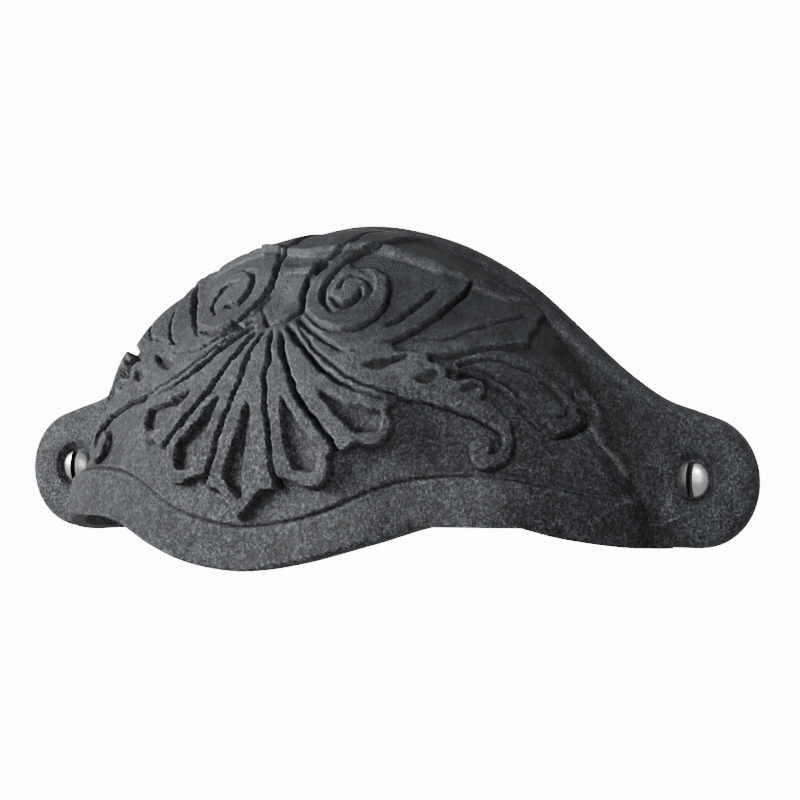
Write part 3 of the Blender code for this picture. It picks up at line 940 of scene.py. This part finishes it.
class Nodes:
    """Short way to place and join the nodes of one material."""

    def __init__(self, name):
        self.material = bpy.data.materials.new(name)
        self.material.use_nodes = True
        self.tree = self.material.node_tree
        self.shader = self.tree.nodes["Principled BSDF"]
        self.place = self.add("ShaderNodeTexCoord").outputs["Object"]

    def add(self, kind, **settings):
        node = self.tree.nodes.new(kind)
        for key, value in settings.items():
            setattr(node, key, value)
        return node

    def join(self, source, target):
        self.tree.links.new(source, target)

    def feed(self, source, target):
        """Sets a socket to a number, or joins another node's output to it."""
        if isinstance(source, float):
            target.default_value = source
        else:
            self.join(source, target)

    def look(self, name, source):
        """Gives the shader one of its values."""
        self.feed(source, self.shader.inputs[name])

    def noise(self, scale, detail=2.0, roughness=0.5):
        node = self.add("ShaderNodeTexNoise")
        node.inputs["Scale"].default_value = scale
        node.inputs["Detail"].default_value = detail
        node.inputs["Roughness"].default_value = roughness
        self.join(self.place, node.inputs["Vector"])
        return node.outputs["Fac"]

    def stored(self, name):
        """Number written for each point of the mesh."""
        return self.add("ShaderNodeAttribute", attribute_name=name).outputs["Fac"]

    def ramp(self, source, stops):
        """Colour looked up along (place, colour) stops."""
        node = self.add("ShaderNodeValToRGB")
        band = node.color_ramp
        for k, (place, colour) in enumerate(stops):
            stop = band.elements[k] if k < 2 else band.elements.new(place)
            stop.position = place
            stop.color = (*colour, 1.0)
        self.join(source, node.inputs["Fac"])
        return node.outputs["Color"]

    def range(self, source, low, high, to_low, to_high):
        """Value carried over from low..high to to_low..to_high, and held beyond the ends."""
        node = self.add("ShaderNodeMapRange")
        for key, value in zip(("From Min", "From Max", "To Min", "To Max"), (low, high, to_low, to_high)):
            node.inputs[key].default_value = value
        self.join(source, node.inputs["Value"])
        return node.outputs["Result"]

    def math(self, operation, first, second):
        node = self.add("ShaderNodeMath", operation=operation)
        self.feed(first, node.inputs[0])
        self.feed(second, node.inputs[1])
        return node.outputs[0]

    def mix(self, factor, first, second, blend="MIX"):
        node = self.add("ShaderNodeMix", data_type="RGBA", blend_type=blend)
        self.feed(factor, node.inputs[0])
        self.feed(first, node.inputs[6])
        self.feed(second, node.inputs[7])
        return node.outputs[2]

    def tint(self, colour, by, factor=1.0):
        """Colour multiplied by a value."""
        return self.mix(factor, colour, by, "MULTIPLY")

    def bump(self, height, distance, strength, after=None):
        node = self.add("ShaderNodeBump")
        node.inputs["Distance"].default_value = distance
        self.feed(strength, node.inputs["Strength"])
        self.join(height, node.inputs["Height"])
        if after is not None:
            self.join(after, node.inputs["Normal"])
        return node.outputs["Normal"]


def cast_iron():
    """Waxed black cast iron: sand grain, coarser low down, pits, blotches; the left grainier and the upper
    right darker as painted light and shade, painted shade in crevices and corners, crests painted bright as
    wear and highlight.
    """
    kit = Nodes("cast_iron_visual")
    blotch = kit.noise(420, 3)
    grain = kit.noise(2300, 4, 0.65)
    speck = kit.noise(4600, 3, 0.7)
    pits = kit.noise(950, 6, 0.75)
    split = kit.add("ShaderNodeSeparateXYZ")
    kit.join(kit.place, split.inputs["Vector"])
    # Grainier, more contrasty colour low down, and on the left as painted light and shade of the grain that
    # a grazing light would bring out; the pits are stronger on the left as painted shade too
    low = kit.range(split.outputs["Z"], 0.006, 0.022, 1.0, 0.1)
    left = kit.range(split.outputs["X"], -0.03, -0.004, 1.0, 0.1)
    grit_and_painted_light = kit.math("MAXIMUM", low, left)
    pitted_and_shaded = kit.range(split.outputs["X"], -0.002, 0.03, 1.0, 0.35)
    iron = kit.mix(grit_and_painted_light, kit.ramp(grain, SMOOTH_IRON), kit.ramp(grain, ROUGH_IRON))
    sandy = kit.tint(iron, kit.range(speck, 0.4, 0.6, 0.55, 1.5))
    sandy = kit.tint(sandy, kit.range(pits, 0.38, 0.5, 0.22, 1.14), pitted_and_shaded)
    iron = kit.mix(grit_and_painted_light, iron, sandy)
    iron = kit.tint(iron, kit.range(blotch, 0.3, 0.6, 0.6, 1.1))
    # Painted shade darkens the crevices, and sharp crests are lightened as painted highlight and wear
    curve = kit.add("ShaderNodeNewGeometry").outputs["Pointiness"]
    iron = kit.tint(iron, kit.range(curve, 0.44, 0.56, 0.25, 1.75))
    # Painted shade in the corners at the cup's ends
    iron = kit.tint(iron, kit.range(kit.stored("corner_shade"), 0.0, 1.0, 1.0, 1.0 - CORNER_SHADE_DARK))
    # Rubbed wear and painted highlight: the marked crests and edges turn towards a bright iron colour
    rubbed_and_highlight = kit.math("MULTIPLY", kit.stored("wear_and_highlight"), kit.range(speck, 0.42, 0.6, 0.0, 1.0))
    kit.look("Base Color", kit.mix(rubbed_and_highlight, iron, kit.ramp(grain, RUBBED_IRON_AND_HIGHLIGHT)))
    kit.look("Roughness", kit.range(speck, 0.35, 0.65, 0.36, 0.58))
    kit.look("Metallic", 0.5)
    uneven = kit.bump(blotch, 0.0006, 0.3)
    grained = kit.bump(grain, 0.0004, kit.range(grit_and_painted_light, 0.0, 1.0, 0.4, 0.9), uneven)
    kit.look("Normal", kit.bump(speck, 0.00012, 0.6, grained))
    return kit.material


def bright_steel():
    """Bright zinc-plated steel, faintly hazy."""
    kit = Nodes("screw_steel_visual")
    haze = kit.noise(700, 3)
    kit.look("Base Color", kit.ramp(haze, STEEL))
    kit.look("Roughness", kit.range(haze, 0.3, 0.7, 0.22, 0.34))
    kit.look("Metallic", 1.0)
    kit.look("Normal", kit.bump(haze, 0.00005, 0.3))
    return kit.material


def slot_shadow_and_grime():
    """Dark grime and painted shadow in the driver slot."""
    kit = Nodes("slot_shadow_and_grime_visual")
    haze = kit.noise(1800, 2)
    kit.look("Base Color", kit.ramp(haze, SLOT_SHADOW_AND_GRIME))
    kit.look("Roughness", 0.9)
    kit.look("Normal", kit.bump(haze, 0.0001, 0.4))
    return kit.material


def white_paint():
    """Glowing white of the floor and the dome."""
    kit = Nodes("studio_white")
    kit.look("Base Color", kit.ramp(kit.noise(3, 2), PAPER))
    kit.look("Roughness", 0.9)
    kit.shader.inputs["Emission Color"].default_value = (1, 1, 1, 1)
    kit.look("Emission Strength", PAPER_GLOW)
    return kit.material


def backdrop(name, mesh):
    """White stage piece that the eye sees but that throws no light or reflection on the pull."""
    item = bpy.data.objects.new(name, mesh)
    bpy.context.scene.collection.objects.link(item)
    mesh.materials.append(white_paint())
    item.visible_diffuse = False
    item.visible_glossy = False
    item.visible_shadow = False


def studio_floor():
    """Pale floor below the pull, far wider than the view."""
    mesh = bpy.data.meshes.new("studio_floor")
    corners = [(x * FLOOR_REACH, y * FLOOR_REACH, FLOOR_Z) for x, y in ((-1, -1), (1, -1), (1, 1), (-1, 1))]
    mesh.from_pydata(corners, [], [(0, 1, 2, 3)])
    backdrop("studio_floor", mesh)


def studio_dome():
    """White dome round the whole set."""
    mesh = bpy.data.meshes.new("studio_dome")
    body = bmesh.new()
    bmesh.ops.create_uvsphere(body, u_segments=64, v_segments=32, radius=DOME_R)
    body.to_mesh(mesh)
    body.free()
    backdrop("studio_dome", mesh)


def aim(name, data, place, target, power):
    """Puts a light at a place in metres, pointed at a target."""
    data.energy = power
    item = bpy.data.objects.new(name, data)
    bpy.context.scene.collection.objects.link(item)
    item.location = place
    item.rotation_euler = (Vector(target) - Vector(place)).to_track_quat("-Z", "Y").to_euler()


def area_light(name, place, target, size, power):
    """Soft rectangular light."""
    light = bpy.data.lights.new(name, "AREA")
    light.shape = "RECTANGLE"
    light.size, light.size_y = size
    aim(name, light, place, target, power)


def spot_light(name, place, target, degrees, power):
    """Soft-edged spot light."""
    light = bpy.data.lights.new(name, "SPOT")
    light.spot_size = np.radians(degrees)
    light.spot_blend = 1.0
    light.shadow_soft_size = 0.05
    aim(name, light, place, target, power)


def studio():
    """Even white sky, a low key light from the left, a front fill and a spot on the right ear."""
    world = bpy.data.worlds.new("studio")
    bpy.context.scene.world = world
    world.use_nodes = True
    back = world.node_tree.nodes["Background"]
    back.inputs["Color"].default_value = (1, 1, 1, 1)
    back.inputs["Strength"].default_value = SKY_LIGHT
    middle = (0, 0, 0.01)
    area_light("key", place=(-1.02, -0.47, 0.33), target=middle, size=(0.3, 0.3), power=29)
    area_light("front", place=(0.15, -1.2, 0.25), target=middle, size=(0.9, 0.7), power=3.4)
    spot_light("ear", place=(0.1, -0.9, 0.6), target=(0.06, -0.003, 0.003), degrees=6.4, power=66)


def camera():
    """Camera from the right and level with the pull, with a long lens."""
    data = bpy.data.cameras.new("camera")
    item = bpy.data.objects.new("camera", data)
    bpy.context.scene.collection.objects.link(item)
    item.location = CAMERA_PLACE
    item.rotation_euler = (np.radians(CAMERA_TILT), 0.0, np.radians(CAMERA_TURN))
    data.lens = CAMERA_LENS
    data.sensor_width = SENSOR_W
    data.clip_start = 0.01
    bpy.context.scene.camera = item


def build():
    """The three pieces in place of their CAD nodes, and the studio round them."""
    casting = cup_casting()
    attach(casting, "root")
    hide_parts("cup_casting")
    for name, x in (("screw_left", -SCREW_X), ("screw_right", SCREW_X)):
        screw = wood_screw(name + "_visual", x)
        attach(screw, "root")
        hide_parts(name)
    studio_floor()
    studio_dome()
    studio()
    camera()


build()
